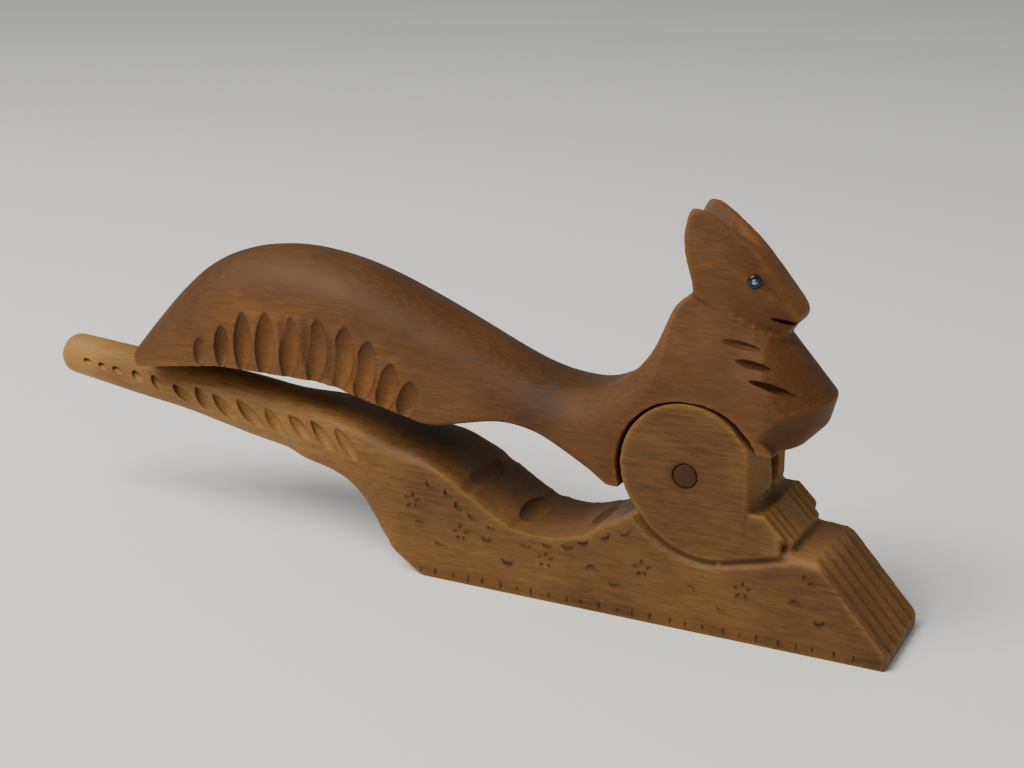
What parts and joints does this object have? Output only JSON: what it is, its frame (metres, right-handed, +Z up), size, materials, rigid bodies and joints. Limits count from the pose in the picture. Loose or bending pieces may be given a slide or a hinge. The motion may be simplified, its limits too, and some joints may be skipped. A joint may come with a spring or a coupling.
{
  "type": "lever nutcracker",
  "caption": "Carved wooden squirrel nutcracker: a wedge base with rod handle and a squirrel-shaped lever hinged on a dowel over a hollow nut seat.",
  "frame": {"origin": "middle of the whole object's length and width, on the plane the base stands on", "axes": "+X from the handle end towards the squirrel's chest and the grooved front slope, +Y across the board to the squirrel's left, +Z up"},
  "size_m": [0.2681, 0.03, 0.1111],
  "materials": {
    "base_wood": "satin stain, hand carved",
    "lever_wood": "satin stain, worn by handling",
    "dowel_wood": "satin stain, end grain",
    "bead": "gloss black",
    "brad": "polished"
  },
  "bodies": {
    "base_body": {"base": "base_wood", "hinge_dowel": "dowel_wood"},
    "lever_body": {"squirrel_lever": "lever_wood", "left_eye_bead": "bead", "right_eye_bead": "bead", "left_eye_brad": "brad", "right_eye_brad": "brad"}
  },
  "joints": [
    {"name": "lever_hinge", "type": "hinge", "parent": "base_body", "child": "lever_body", "pos_m": [0.079, 0, 0.0429], "axis": [0, 1, 0], "range_deg": [0, 40]}
  ]
}
